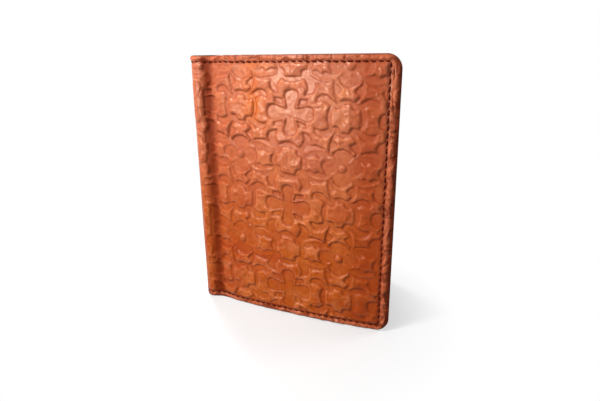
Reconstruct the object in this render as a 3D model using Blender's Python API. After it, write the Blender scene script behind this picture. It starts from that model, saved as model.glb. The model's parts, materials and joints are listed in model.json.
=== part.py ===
# Travel document holder: a stitched leather folder for a passport, standing half open on its lower edge.
# +Z is up, +X runs from the spine to the fore-edges, and the front cover is on the -Y side.

import math

import bmesh
import bpy
from mathutils import Vector

MM = 0.001

# Driving sizes of the whole holder
HEIGHT = 140 * MM
COVER_REACH = 101.5 * MM
SPINE_REACH = 11 * MM
SPINE_THICKNESS = 13 * MM
CORNER_RADIUS = 7 * MM
HINGE_CORNER_RADIUS = 2 * MM
EDGE_ROUND = 1.3 * MM
SPINE_CORNER_RADIUS = 5.6 * MM

# How far each cover stands open at rest, and how much its bowed face turns between hinge and fore-edge
REST_OPENING = math.radians(14.8)
COVER_BOW = math.radians(12)

# Thickness of each layer, and the air left between layers that touch on the real holder
LEATHER = 1.2 * MM
BOARD = 0.8 * MM
LINING = 0.5 * MM
SLEEVE = 0.7 * MM
POCKET = 0.5 * MM
SPINE_STRIP = 0.8 * MM
GAP = 0.3 * MM

# How far the strip and the lining of the spine run on past its round back, towards the hinges
SPINE_STRIP_LEAD = 0.4 * MM
SPINE_LINING_LEAD = 2 * MM

# The turned hem and the pockets inside the covers
HEM_WIDTH = 7.5 * MM
SLEEVE_MARGIN = 1.6 * MM
SLEEVE_START = 5 * MM
POCKET_START = 6.5 * MM
TICKET_POCKET_HEIGHT = 84 * MM
TICKET_POCKET_RISE = 12 * MM
LOWEST_SLOT_HEIGHT = 74 * MM
SLOT_STEP = 13 * MM
SLOT_DEPTH = 56 * MM
SLOT_NAMES = ("lower", "middle", "upper")

# Thread and seams
THREAD_WIDTH = 0.8 * MM
THREAD_HEIGHT = 0.5 * MM
THREAD_PINCH = 0.4
STITCH_PITCH = 3.5 * MM
SEAM_INSET = 3.3 * MM
FORE_SEAM_INSET = 5.2 * MM
SEAM_START = 3.6 * MM
POCKET_SEAM_INSET = 2 * MM
SEAM_END_INSET = 1.5 * MM

# The ornament pressed into both covers: its repeat, how far its shapes stand over and under the plain face,
# how wide their walls are, and how it lies askew on the hide
REPEAT_LENGTH = 56.8 * MM
REPEAT_HEIGHT = 48.2 * MM
ORNAMENT_PROUD = 0.55 * MM
ORNAMENT_SUNK = 0.35 * MM
ORNAMENT_WALL = 2.4 * MM
ORNAMENT_TILT = math.radians(2.6)

# The middle of a cross on the front cover, and the next one round the spine on the back cover
FRONT_CROSS = (45.9 * MM, 64.3 * MM)
BACK_CROSS = (37.8 * MM, 71.8 * MM)

# Raised shapes in a quarter of a repeat, as the middle and the half sizes of each, from the middle of a cross
PILLOW = (7.2 * MM, 6.0 * MM)
SMALL_PILLOW = (6.8 * MM, 6.2 * MM)
BONE_BESIDE = (16.4 * MM, 0 * MM, 3.0 * MM, 5.6 * MM)
BONE_ABOVE = (0 * MM, 13.4 * MM, 5.8 * MM, 2.2 * MM)
FISH = (16.2 * MM, 11.4 * MM, 5.4 * MM, 3.4 * MM)
CROWN_HEIGHT = 12.2 * MM
CROWN = (4.4 * MM, 3.4 * MM)
STAR_PLACE = 14.4 * MM
STAR = (4.2 * MM, 3.8 * MM)
FLOWER_HEART = (1.9 * MM, 1.9 * MM)

# Fineness of the curved shapes
BOW_STEPS = 12
ORNAMENT_STEPS = 3
ORNAMENT_ROWS = 46
CORNER_STEPS = 4
HINGE_CORNER_STEPS = 2
EDGE_STEPS = 3
SPINE_ARC_STEPS = 8
TIGHTEST_RADIUS = 0.3 * MM

# A cover's leather wraps a board and a lining, so its edge is as thick as the three with their gaps
COVER_THICKNESS = LEATHER + BOARD + LINING + 3 * GAP
COVER_HALF = COVER_THICKNESS / 2
EDGE_RADIUS = min(EDGE_ROUND, COVER_HALF)
HINGE_OFFSET = SPINE_THICKNESS / 2 - COVER_HALF

# The radius that a cover's round hinge edge sweeps as it turns, which the spine's leather stays clear of
SWING_RADIUS = math.sqrt(2) * (COVER_HALF - EDGE_RADIUS) + EDGE_RADIUS

FRONT = -1
BACK = 1


def clear_scene():
    for old in list(bpy.data.objects):
        bpy.data.objects.remove(old)


def make_material(name, colour, roughness, metallic=0.0):
    material = bpy.data.materials.new(name)
    material.use_nodes = True
    shader = material.node_tree.nodes["Principled BSDF"]
    shader.inputs["Base Color"].default_value = (*colour, 1.0)
    shader.inputs["Roughness"].default_value = roughness
    shader.inputs["Metallic"].default_value = metallic
    material.diffuse_color = (*colour, 1.0)
    return material


def make_empty(name, parent=None, location=(0, 0, 0), turn=0.0):
    empty = bpy.data.objects.new(name, None)
    bpy.context.collection.objects.link(empty)
    empty.parent = parent
    empty.location = location
    empty.rotation_euler = (0, 0, turn)
    return empty


def make_object(name, bm, parent, material, smooth_below=40):
    bmesh.ops.recalc_face_normals(bm, faces=bm.faces)
    mesh = bpy.data.meshes.new(name)
    bm.to_mesh(mesh)
    bm.free()
    mesh.shade_smooth()
    mesh.set_sharp_from_angle(angle=math.radians(smooth_below))
    mesh.materials.append(material)
    piece = bpy.data.objects.new(name, mesh)
    bpy.context.collection.objects.link(piece)
    piece.parent = parent
    return piece


# A flat outline is a list of columns (u, low, high): u runs from the hinge to the fore-edge, low and high
# are heights. Every outline of one piece has the same number of columns, so its rings join one to one.
def columns(left, right, bottom, top, hinge_radius, fore_radius, rise=0.0):
    hinge_radius = max(hinge_radius, TIGHTEST_RADIUS)
    fore_radius = max(fore_radius, TIGHTEST_RADIUS)
    outline = []
    for step in range(HINGE_CORNER_STEPS):
        angle = math.pi / 2 * step / HINGE_CORNER_STEPS
        outline.append((left + hinge_radius * (1 - math.cos(angle)), hinge_radius * (1 - math.sin(angle))))
    start = left + hinge_radius
    end = right - fore_radius
    for step in range(BOW_STEPS + 1):
        outline.append((start + (end - start) * step / BOW_STEPS, 0.0))
    for step in range(1, CORNER_STEPS + 1):
        angle = math.pi / 2 * step / CORNER_STEPS
        outline.append((end + fore_radius * math.sin(angle), fore_radius * (1 - math.cos(angle))))
    return [
        (u, bottom + cut, top - cut + rise * (u - left) / (right - left)) for u, cut in outline
    ]


def on_cover(side, u, height, outward):
    """The point at u from the hinge axis and this far out from a cover's middle surface, with the cover closed."""
    radius = COVER_REACH / COVER_BOW
    slope = COVER_BOW / 2 - u / radius
    along = radius * (math.sin(COVER_BOW / 2) - math.sin(slope)) - outward * math.sin(slope)
    bulge = radius * (math.cos(slope) - math.cos(COVER_BOW / 2)) + outward * math.cos(slope)
    return Vector((along, side * bulge, height))


def ring_of(bm, side, outline, outward):
    tops = [bm.verts.new(on_cover(side, u, high, outward)) for u, low, high in outline]
    bottoms = [bm.verts.new(on_cover(side, u, low, outward)) for u, low, high in outline]
    return tops, bottoms


def join_rings(bm, first, second):
    """Fills the band between two rings, all the way round."""
    around_first = first[0] + first[1][::-1]
    around_second = second[0] + second[1][::-1]
    count = len(around_first)
    for i in range(count):
        j = (i + 1) % count
        bm.faces.new((around_first[i], around_first[j], around_second[j], around_second[i]))


def cap_ring(bm, ring):
    tops, bottoms = ring
    for i in range(len(tops) - 1):
        bm.faces.new((tops[i], tops[i + 1], bottoms[i + 1], bottoms[i]))


def stack_rings(side, rings, outer_cap=cap_ring):
    """A closed solid from rings of (outline, outward), from its outer face round to its inner face."""
    bm = bmesh.new()
    made = [ring_of(bm, side, outline, outward) for outline, outward in rings]
    outer_cap(bm, made[0])
    for first, second in zip(made, made[1:]):
        join_rings(bm, first, second)
    cap_ring(bm, made[-1])
    return bm


def cover_outline(inset):
    """A cover's own outline, drawn in by this much on every side."""
    return columns(
        -COVER_HALF + inset,
        COVER_REACH - inset,
        inset,
        HEIGHT - inset,
        HINGE_CORNER_RADIUS - inset,
        CORNER_RADIUS - inset,
    )


def raised_share(x, y, middle_x, middle_y, half_length, half_height):
    """0 outside a raised shape and 1 on top of it, with a sloping wall between."""
    inside = min(half_length - abs(x - middle_x), half_height - abs(y - middle_y))
    return min(max(inside / ORNAMENT_WALL + 0.5, 0), 1)


def ornament_height(side, u, height):
    """How far the pressed face stands over the plain one. The four quarters of a repeat mirror each other."""
    cross_u, cross_height = FRONT_CROSS if side == FRONT else BACK_CROSS
    along = -side * (u - cross_u)
    up = height - cross_height
    x = along * math.cos(ORNAMENT_TILT) - up * math.sin(ORNAMENT_TILT)
    y = up * math.cos(ORNAMENT_TILT) + along * math.sin(ORNAMENT_TILT)
    half_x = REPEAT_LENGTH / 2
    half_y = REPEAT_HEIGHT / 2
    x = abs((x + half_x) % REPEAT_LENGTH - half_x)
    y = abs((y + half_y) % REPEAT_HEIGHT - half_y)
    shapes = (
        (half_x, 0, *PILLOW),
        (0, half_y, *SMALL_PILLOW),
        (half_x, CROWN_HEIGHT, *CROWN),
        (STAR_PLACE, half_y, *STAR),
        (half_x, half_y, *FLOWER_HEART),
        BONE_BESIDE,
        BONE_ABOVE,
        FISH,
    )
    share = max(raised_share(x, y, *shape) for shape in shapes)
    return share * (ORNAMENT_PROUD + ORNAMENT_SUNK) - ORNAMENT_SUNK


def fan(bm, corner, others):
    for first, second in zip(others, others[1:]):
        bm.faces.new((corner, first, second))


def ornament_cap(side, outline):
    """A function that caps a cover's outermost ring with its pressed face, kept plain along the seam."""
    first = HINGE_CORNER_STEPS + 1
    last = HINGE_CORNER_STEPS + BOW_STEPS
    margin = SEAM_INSET + THREAD_WIDTH / 2 + GAP
    starts = [u for u, low, high in outline[first : last + 1]]
    across = [
        a + (b - a) * step / ORNAMENT_STEPS for a, b in zip(starts, starts[1:]) for step in range(ORNAMENT_STEPS)
    ] + [starts[-1]]
    levels = [margin + (HEIGHT - 2 * margin) * row / ORNAMENT_ROWS for row in range(ORNAMENT_ROWS + 1)]

    def spot(bm, i, j):
        on_rim = i in (0, len(across) - 1) or j in (0, ORNAMENT_ROWS)
        lift = 0 if on_rim else ornament_height(side, across[i], levels[j])
        return bm.verts.new(on_cover(side, across[i], levels[j], COVER_HALF + lift))

    def cap(bm, ring):
        tops, bottoms = ring
        grid = [[spot(bm, i, j) for j in range(ORNAMENT_ROWS + 1)] for i in range(len(across))]
        for near, far in zip(grid, grid[1:]):
            for j in range(ORNAMENT_ROWS):
                bm.faces.new((near[j], far[j], far[j + 1], near[j + 1]))
        for i in list(range(first - 1)) + list(range(last + 1, len(tops) - 1)):
            bm.faces.new((tops[i], tops[i + 1], bottoms[i + 1], bottoms[i]))
        for k in range(first, last):
            i = (k - first) * ORNAMENT_STEPS
            span = grid[i : i + ORNAMENT_STEPS + 1]
            fan(bm, tops[k], [column[-1] for column in span] + [tops[k + 1]])
            fan(bm, bottoms[k], [column[0] for column in span] + [bottoms[k + 1]])
        middle = ORNAMENT_ROWS // 2
        for column, inner, outer in ((grid[0], first, first - 1), (grid[-1], last, last + 1)):
            fan(bm, tops[outer], [tops[inner]] + column[: middle - 1 : -1])
            fan(bm, bottoms[outer], [bottoms[inner]] + column[: middle + 1])
            bm.faces.new((tops[outer], column[middle], bottoms[outer]))

    return cap


def cover_leather(side):
    """The outer leather, turned over on all four sides as a hem, with a round edge and a tray for the board."""
    rings = []
    rim = COVER_HALF - EDGE_RADIUS
    for step in range(EDGE_STEPS + 1):
        angle = math.pi / 2 * step / EDGE_STEPS
        inset = EDGE_RADIUS * (1 - math.sin(angle))
        rings.append((cover_outline(inset), rim + EDGE_RADIUS * math.cos(angle)))
    for outline, outward in list(reversed(rings)):
        rings.append((outline, -outward))
    floor = COVER_HALF - LEATHER
    rings.append((cover_outline(HEM_WIDTH), -COVER_HALF))
    rings.append((cover_outline(HEM_WIDTH), floor))
    return stack_rings(side, rings, ornament_cap(side, rings[0][0]))


def sheet(side, outline, outer_face, thickness):
    """A flat sheet that lies this far out from the cover's middle surface and follows its bow."""
    return stack_rings(side, [(outline, outer_face), (outline, outer_face - thickness)])


def pocket_outline(start, top, bottom=SLEEVE_MARGIN, rise=0.0):
    """A sheet sewn in along the fore-edge, from start beside the hinge out to the sleeve's margin."""
    fore_radius = CORNER_RADIUS - SLEEVE_MARGIN
    outline = columns(start, COVER_REACH - SLEEVE_MARGIN, bottom, HEIGHT - SLEEVE_MARGIN, 0, fore_radius)
    end = outline[-1][0]
    levels = [top + rise * (u - start) / (end - start) for u, low, high in outline]
    return [(u, low, min(high, level)) for (u, low, high), level in zip(outline, levels)]


# A seam's top thread is one strand. It stands proud in the middle of each stitch and pinches in at each hole.
def thread_strand(stations):
    """A closed strand through stations of (base point, across, out), holes and stitch middles in turn."""
    bm = bmesh.new()
    rows = []
    for i, (base, across, out) in enumerate(stations):
        share = 1.0 if i % 2 else THREAD_PINCH
        half = across.normalized() * THREAD_WIDTH * share / 2
        lift = out.normalized() * THREAD_HEIGHT * share
        corners = (base - half, base + half, base + half + lift, base - half + lift)
        rows.append([bm.verts.new(corner) for corner in corners])
    bm.faces.new(rows[0])
    bm.faces.new(rows[-1])
    for first, second in zip(rows, rows[1:]):
        for i in range(4):
            j = (i + 1) % 4
            bm.faces.new((first[i], first[j], second[j], second[i]))
    return bm


def half_pitches(start, end):
    """Places from start to end, half a stitch apart, for as many whole stitches as suit the seam's pitch."""
    count = 2 * max(1, round(abs(end - start) / STITCH_PITCH))
    return [start + (end - start) * i / count for i in range(count + 1)]


def on_seam(side, u, height, outward, across, facing):
    """A thread's station on a cover: across is (along u, upward), and facing is -1 on the inner side."""
    base = on_cover(side, u, height, outward)
    out = on_cover(side, u, height, outward + facing * MM) - base
    along = on_cover(side, u + MM, height, outward) - base
    return base, along.normalized() * across[0] + Vector((0, 0, across[1])), out


def cover_stitching(side):
    """The seam round a cover's head, fore-edge and foot, on its outer face, as one strand."""
    fore = COVER_REACH - FORE_SEAM_INSET
    foot = SEAM_INSET
    head = HEIGHT - SEAM_INSET
    route = [(u, foot, (0, 1)) for u in half_pitches(SEAM_START, fore)]
    route[-1] = (fore, foot, (-1, 1))
    route += [(fore, height, (-1, 0)) for height in half_pitches(foot, head)[1:]]
    route[-1] = (fore, head, (-1, -1))
    route += [(u, head, (0, -1)) for u in half_pitches(fore, SEAM_START)[1:]]
    outward = COVER_HALF + GAP
    return thread_strand([on_seam(side, u, height, outward, across, 1) for u, height, across in route])


def pocket_seam(side, lowest, highest, face):
    """An upright seam on the inner side of a cover, beside the hinge end of its pockets."""
    u = POCKET_START + POCKET_SEAM_INSET
    heights = half_pitches(lowest, highest)
    return thread_strand([on_seam(side, u, height, face - GAP, (1, 0), -1) for height in heights])


# The spine is drawn in plan, as a path that runs from the front groove round the back of the spine to the
# back groove. Its origin is midway between the hinge axes.
def spine_arc(inset):
    """The round back of the spine, this far inside the leather's outer face, as (point, outward normal)."""
    half = SPINE_THICKNESS / 2
    radius = min(SPINE_CORNER_RADIUS, half)
    centre_x = radius - SPINE_REACH
    path = []
    for side in (FRONT, BACK):
        quarter = []
        for step in range(SPINE_ARC_STEPS + 1):
            angle = math.pi / 2 * step / SPINE_ARC_STEPS
            normal = Vector((-math.sin(angle), side * math.cos(angle)))
            centre = Vector((centre_x, side * (half - radius)))
            quarter.append((centre + normal * (radius - inset), normal))
        path += quarter if side == FRONT else quarter[::-1]
    return path


def with_ends(path, x, y):
    """The path, led on at both ends to a point at (x, y) and its mirror image."""
    start = Vector((x, -y))
    normal = Vector((0, -1))
    mirrored = Vector((x, y))
    return [(start, normal)] + path + [(mirrored, -normal)]


def ribbon(path, half_thickness, lowest, highest):
    """A closed upright strip about a path in plan. half_thickness gives one value for each point."""
    bm = bmesh.new()
    rows = []
    for (point, normal), half in zip(path, half_thickness):
        row = []
        for offset in (half, -half):
            for z in (lowest, highest):
                place = point + normal * offset
                row.append(bm.verts.new((place.x, place.y, z)))
        rows.append(row)
    for a, b in zip(rows, rows[1:]):
        for i, j in ((0, 1), (1, 3), (3, 2), (2, 0)):
            bm.faces.new((a[i], a[j], b[j], b[i]))
    bm.faces.new([rows[0][i] for i in (0, 1, 3, 2)])
    bm.faces.new([rows[-1][i] for i in (2, 3, 1, 0)])
    return bm


def spine_leather():
    """The leather round the spine, which dips beside each cover and ends in a round nose at the groove."""
    half = LEATHER / 2
    nose = SWING_RADIUS + GAP + half
    flat_start = min(SPINE_CORNER_RADIUS, SPINE_THICKNESS / 2) - SPINE_REACH
    ridge = Vector((flat_start + half, -(SPINE_THICKNESS / 2 - half)))
    tip = Vector((-nose, -HINGE_OFFSET))
    run = ridge - tip
    across = Vector((run.y, -run.x)).normalized()
    nose_part = []
    thickness = []
    for step in range(EDGE_STEPS + 1):
        angle = math.pi / 2 * step / EDGE_STEPS
        nose_part.append((tip - run.normalized() * half * math.cos(angle), -across))
        thickness.append(max(half * math.sin(angle), TIGHTEST_RADIUS / 2))
    bend = (Vector((0, -1)) - across).normalized()
    nose_part.append((ridge, bend))
    thickness.append(half)
    arc = spine_arc(half)
    mirrored = [(Vector((p.x, -p.y)), Vector((n.x, -n.y))) for p, n in reversed(nose_part)]
    path = nose_part + arc + mirrored
    thickness = thickness + [half] * len(arc) + thickness[::-1]
    return ribbon(path, thickness, 0, HEIGHT)


def spine_layer(depth, thickness, lead, margin):
    """A strip inside the spine, with its outer face this deep below the leather's, led on by this much."""
    arc = spine_arc(depth + thickness / 2)
    first = arc[0][0]
    path = with_ends(arc, first.x + lead, -first.y)
    return ribbon(path, [thickness / 2] * len(path), margin, HEIGHT - margin)


def spine_seam(height):
    """The seam carried across the spine at this height, spaced along the curve of the leather."""
    path = spine_arc(-GAP)
    travelled = [0.0]
    for (first, _), (second, _) in zip(path, path[1:]):
        travelled.append(travelled[-1] + (second - first).length)
    stations = []
    for distance in half_pitches(0, travelled[-1]):
        i = max(k for k in range(len(path) - 1) if travelled[k] <= distance)
        share = (distance - travelled[i]) / (travelled[i + 1] - travelled[i])
        point = path[i][0].lerp(path[i + 1][0], share)
        out = path[i][1].lerp(path[i + 1][1], share)
        stations.append((Vector((point.x, point.y, height)), Vector((0, 0, 1)), out.to_3d()))
    return thread_strand(stations)


def build_spine(datum, leather, strip, lining, thread):
    make_object("spine_leather", spine_leather(), datum, leather)
    strip_depth = LEATHER + GAP
    lining_depth = strip_depth + SPINE_STRIP + GAP
    make_object("spine_reinforcement", spine_layer(strip_depth, SPINE_STRIP, SPINE_STRIP_LEAD, GAP), datum, strip)
    make_object("spine_lining", spine_layer(lining_depth, LINING, SPINE_LINING_LEAD, GAP), datum, lining)
    make_object("spine_stitching_foot", spine_seam(SEAM_INSET), datum, thread)
    make_object("spine_stitching_head", spine_seam(HEIGHT - SEAM_INSET), datum, thread)


def build_cover(side, name, axis, leather, board, lining, inner):
    """The layers that both covers have, from the outside in: leather, board, lining and document sleeve."""
    make_object(f"{name}_cover_leather", cover_leather(side), axis, leather)
    inside = cover_outline(HEM_WIDTH + GAP)
    board_face = COVER_HALF - LEATHER - GAP
    lining_face = board_face - BOARD - GAP
    make_object(f"{name}_cover_board", sheet(side, inside, board_face, BOARD), axis, board)
    make_object(f"{name}_cover_lining", sheet(side, inside, lining_face, LINING), axis, lining)
    sleeve = pocket_outline(SLEEVE_START, HEIGHT - SLEEVE_MARGIN)
    make_object(f"{name}_document_sleeve", sheet(side, sleeve, -COVER_HALF - GAP, SLEEVE), axis, inner)


def build_ticket_pocket(axis, inner, thread):
    face = -COVER_HALF - GAP - SLEEVE - GAP
    outline = pocket_outline(POCKET_START, TICKET_POCKET_HEIGHT, rise=TICKET_POCKET_RISE)
    make_object("front_ticket_pocket", sheet(FRONT, outline, face, POCKET), axis, inner)
    seam = pocket_seam(FRONT, SEAM_INSET, TICKET_POCKET_HEIGHT - SEAM_END_INSET, face - POCKET)
    make_object("front_ticket_pocket_stitching", seam, axis, thread)


def build_card_slots(axis, inner, thread):
    """Three card slots that step down towards the foot. Each sheet hangs behind the next lower one."""
    seam_foot = SEAM_INSET
    for i, name in enumerate(SLOT_NAMES):
        layers_below = len(SLOT_NAMES) - 1 - i
        face = -COVER_HALF - GAP - SLEEVE - GAP - layers_below * (POCKET + GAP)
        top = LOWEST_SLOT_HEIGHT + i * SLOT_STEP
        bottom = SLEEVE_MARGIN if i == 0 else top - SLOT_DEPTH
        outline = pocket_outline(POCKET_START, top, bottom)
        make_object(f"back_card_slot_{name}", sheet(BACK, outline, face, POCKET), axis, inner)
        seam = pocket_seam(BACK, seam_foot, top - SEAM_END_INSET, face - POCKET)
        make_object(f"back_card_slot_{name}_stitching", seam, axis, thread)
        seam_foot = top + SEAM_END_INSET


def centre_on_base(datum):
    """Moves the whole holder along X, so that the origin is under the middle of its overall box."""
    bpy.context.view_layer.update()
    across = []
    for piece in bpy.data.objects:
        if piece.type == "MESH":
            across += [(piece.matrix_world @ vertex.co).x for vertex in piece.data.vertices]
    datum.location.x = -(min(across) + max(across)) / 2


def main():
    clear_scene()
    leather = make_material("tan_leather", (0.48, 0.13, 0.04), 0.45)
    inner = make_material("smooth_brown_leather", (0.30, 0.09, 0.035), 0.5)
    lining = make_material("brown_lining_cloth", (0.16, 0.07, 0.04), 0.9)
    board = make_material("grey_board", (0.35, 0.31, 0.26), 0.9)
    thread = make_material("maroon_thread", (0.06, 0.012, 0.006), 0.7)

    datum = make_empty("spine_datum")
    hinges = {}
    for side, name in ((FRONT, "front"), (BACK, "back")):
        place = (0, side * HINGE_OFFSET, 0)
        hinges[side] = make_empty(f"{name}_fold_axis", datum, place, side * REST_OPENING)
    build_spine(datum, leather, board, lining, thread)
    for side, name in ((FRONT, "front"), (BACK, "back")):
        build_cover(side, name, hinges[side], leather, board, lining, inner)
        make_object(f"{name}_cover_stitching", cover_stitching(side), hinges[side], thread)
    build_ticket_pocket(hinges[FRONT], inner, thread)
    build_card_slots(hinges[BACK], inner, thread)
    centre_on_base(datum)


main()
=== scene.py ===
# %% [markdown]
# # A travel document holder in embossed tan leather
# The real holder is two stiffened covers that fold about a rounded spine, wrapped in one embossed hide.
# It stands half open on its lower edge. The imported model gives every size and joint, so the script loads
# it first.

# %% Load the imported model
import json
import math

import bpy
import numpy as np
from mathutils import Matrix, Vector


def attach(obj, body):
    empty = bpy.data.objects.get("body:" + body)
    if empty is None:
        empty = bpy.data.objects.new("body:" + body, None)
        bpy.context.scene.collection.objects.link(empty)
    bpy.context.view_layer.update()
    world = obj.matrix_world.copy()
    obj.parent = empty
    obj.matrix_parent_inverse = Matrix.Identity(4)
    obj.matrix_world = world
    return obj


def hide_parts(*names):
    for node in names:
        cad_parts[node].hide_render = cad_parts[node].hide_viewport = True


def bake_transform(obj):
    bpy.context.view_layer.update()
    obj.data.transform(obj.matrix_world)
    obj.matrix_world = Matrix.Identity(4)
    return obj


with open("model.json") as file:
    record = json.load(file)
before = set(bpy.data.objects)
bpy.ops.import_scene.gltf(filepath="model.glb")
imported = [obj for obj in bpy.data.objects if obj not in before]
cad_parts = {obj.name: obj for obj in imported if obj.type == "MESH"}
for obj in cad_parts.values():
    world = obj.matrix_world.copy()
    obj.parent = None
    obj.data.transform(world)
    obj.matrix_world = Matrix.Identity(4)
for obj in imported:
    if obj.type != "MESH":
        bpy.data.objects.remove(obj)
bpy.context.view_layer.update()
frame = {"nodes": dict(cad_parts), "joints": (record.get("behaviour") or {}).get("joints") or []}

# %% [markdown]
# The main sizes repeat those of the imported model, in metres. The hinge axes stand upright on each side
# of the spine, and their X comes from the joint itself. A cover is a gently bowed panel, so its sizes are
# measured along its middle surface, from the hinge out to the fore-edge. Each size is written once and
# has a name, so that the later formulas can be read aloud.

# %% Sizes of the holder
MM = 0.001
HEIGHT = 140 * MM
COVER_REACH = 101.5 * MM
SPINE_REACH = 11 * MM
HALF_SPINE = 6.5 * MM
SPINE_RADIUS = 5.6 * MM
COVER_HALF = 1.7 * MM
HINGE_OFFSET = HALF_SPINE - COVER_HALF
REST_OPENING = math.radians(14.8)
COVER_BOW = math.radians(12)
BOW_RADIUS = COVER_REACH / COVER_BOW
CORNER_RADIUS = 7 * MM
EDGE_ROUND = 1.6 * MM
FRONT, BACK = -1, 1
SIDE_NAMES = {FRONT: "front", BACK: "back"}
HINGE_X = float(frame["joints"][0]["pos_m"][0])
print("hinge axes at x =", round(HINGE_X, 5), "and y =", HINGE_OFFSET, "on each side")

# %% [markdown]
# The camera comes before the pieces, so that every early render can be laid over the photograph. It
# stands level with the head of the holder, a little to the right of the spine, and looks down at it. A
# camera can be placed by eye, but this one was fitted to the outline of the front cover, because a small
# error in its height would show in every slanting edge.

# %% Camera
PHOTO_WIDTH = 600
FOCAL_LENGTH = 455
MIDDLE_SHIFT = (-1, -0.5)
HEADING = math.radians(8)
PITCH = math.radians(17.18)
ROLL = math.radians(-0.41)
camera_data = bpy.data.cameras.new("camera")
camera_data.sensor_width = 36
camera_data.lens = FOCAL_LENGTH / PHOTO_WIDTH * camera_data.sensor_width
camera_data.shift_x, camera_data.shift_y = (shift / PHOTO_WIDTH for shift in MIDDLE_SHIFT)
camera_data.clip_start = 0.01
camera = bpy.data.objects.new("camera", camera_data)
bpy.context.collection.objects.link(camera)
level = math.cos(PITCH)
ahead = Vector((-math.sin(HEADING) * level, math.cos(HEADING) * level, -math.sin(PITCH)))
camera.matrix_world = (
    Matrix.Translation((HINGE_X + 0.0821, -0.2442, 0.1376))
    @ ahead.to_track_quat("-Z", "Y").to_matrix().to_4x4()
    @ Matrix.Rotation(ROLL, 4, "Z")
)
bpy.context.scene.camera = camera
print("camera at", [round(v, 4) for v in camera.location])

# %% [markdown]
# A material is a chain of small steps, called nodes: a noise makes spots, a spread sets how strong they
# are, and a mix lays one colour over another. Nodes can be joined by hand in the editor. Here a small
# class adds them, so that a finish reads like a recipe: each helper adds one node and returns the socket
# that the next node reads.


# %% Helpers for node materials
class Recipe:
    """One procedural material, built up node by node."""

    def __init__(self, name):
        self.material = bpy.data.materials.new(name)
        self.material.use_nodes = True
        self.tree = self.material.node_tree
        self.shader = self.tree.nodes["Principled BSDF"]

    def node(self, kind, **settings):
        made = self.tree.nodes.new(kind)
        for key, value in settings.items():
            setattr(made, key, value)
        return made

    def link(self, source, target):
        if hasattr(source, "is_output"):
            self.tree.links.new(source, target)
        else:
            target.default_value = source

    def object_place(self):
        return self.node("ShaderNodeTexCoord").outputs["Object"]

    def stored(self, name, output="Fac"):
        return self.node("ShaderNodeAttribute", attribute_name=name).outputs[output]

    def marked(self, name, share):
        """A mark that the mesh carries, weakened to this share."""
        return self.maths("MULTIPLY", self.stored(name), share)

    def distance(self, place, point):
        made = self.node("ShaderNodeVectorMath", operation="DISTANCE")
        self.link(place, made.inputs[0])
        made.inputs[1].default_value = point
        return made.outputs["Value"]

    def scaled(self, place, factors):
        made = self.node("ShaderNodeMapping")
        self.link(place, made.inputs["Vector"])
        made.inputs["Scale"].default_value = factors
        return made.outputs["Vector"]

    def noise(self, place, scale, detail=3.0, roughness=0.5, distortion=0.0):
        made = self.node("ShaderNodeTexNoise")
        self.link(place, made.inputs["Vector"])
        made.inputs["Scale"].default_value = scale
        made.inputs["Detail"].default_value = detail
        made.inputs["Roughness"].default_value = roughness
        made.inputs["Distortion"].default_value = distortion
        return made.outputs["Fac"]

    def cells(self, place, scale):
        made = self.node("ShaderNodeTexVoronoi")
        self.link(place, made.inputs["Vector"])
        made.inputs["Scale"].default_value = scale
        return made.outputs["Distance"]

    def spread(self, value, low, high, to_low=0.0, to_high=1.0):
        made = self.node("ShaderNodeMapRange")
        self.link(value, made.inputs["Value"])
        for key, number in zip(("From Min", "From Max", "To Min", "To Max"), (low, high, to_low, to_high)):
            made.inputs[key].default_value = number
        return made.outputs["Result"]

    def maths(self, operation, first, second):
        made = self.node("ShaderNodeMath", operation=operation)
        self.link(first, made.inputs[0])
        self.link(second, made.inputs[1])
        return made.outputs["Value"]

    def mix(self, share, first, second):
        made = self.node("ShaderNodeMix", data_type="RGBA")
        self.link(share, made.inputs[0])
        self.link(first, made.inputs[6])
        self.link(second, made.inputs[7])
        return made.outputs[2]

    def bump(self, height, distance, strength=1.0, under=None):
        made = self.node("ShaderNodeBump")
        made.inputs["Strength"].default_value = strength
        made.inputs["Distance"].default_value = distance
        self.link(height, made.inputs["Height"])
        if under is not None:
            self.link(under, made.inputs["Normal"])
        return made.outputs["Normal"]

    def finish(self, colour, roughness, normal=None, **fixed):
        self.link(colour, self.shader.inputs["Base Color"])
        self.link(roughness, self.shader.inputs["Roughness"])
        if normal is not None:
            self.link(normal, self.shader.inputs["Normal"])
        for key, value in fixed.items():
            self.shader.inputs[key.replace("_", " ")].default_value = value
        return self.material


def shade(red, green, blue):
    """A colour given in the 0 to 255 values of a picture, as the linear values that nodes use."""

    def linear(value):
        return ((value / 255 + 0.055) / 1.055) ** 2.4 if value > 10 else value / 255 / 12.92

    return (linear(red), linear(green), linear(blue), 1.0)


print("a warm tan is", [round(v, 3) for v in shade(200, 106, 72)], "in linear values")

# %% [markdown]
# The holder was photographed on plain white, with one soft shadow beside its foot. A white painted floor
# would do, but lamps never light it evenly. So this one is matt near the middle of the holder and beside
# the spine, where the shadow falls also when the covers are open, and turns into plain white farther
# away. It is bright only to the camera and in mirrorings, so it throws little light back at the leather.

# %% White floor that takes the shadow
FLOOR_HALF = 6
FLOOR_WHITE, FLOOR_THROWN_BACK = 0.78, 0.14
SHADOW_NEAR, SHADOW_FAR = 0.052, 0.094
floor_mesh = bpy.data.meshes.new("floor")
corners = [(x * FLOOR_HALF, y * FLOOR_HALF, 0) for x, y in ((-1, -1), (1, -1), (1, 1), (-1, 1))]
floor_mesh.from_pydata(corners, [], [(0, 1, 2, 3)])
floor = bpy.data.objects.new("floor", floor_mesh)
floor.location.z = -0.0002
bpy.context.collection.objects.link(floor)

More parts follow.
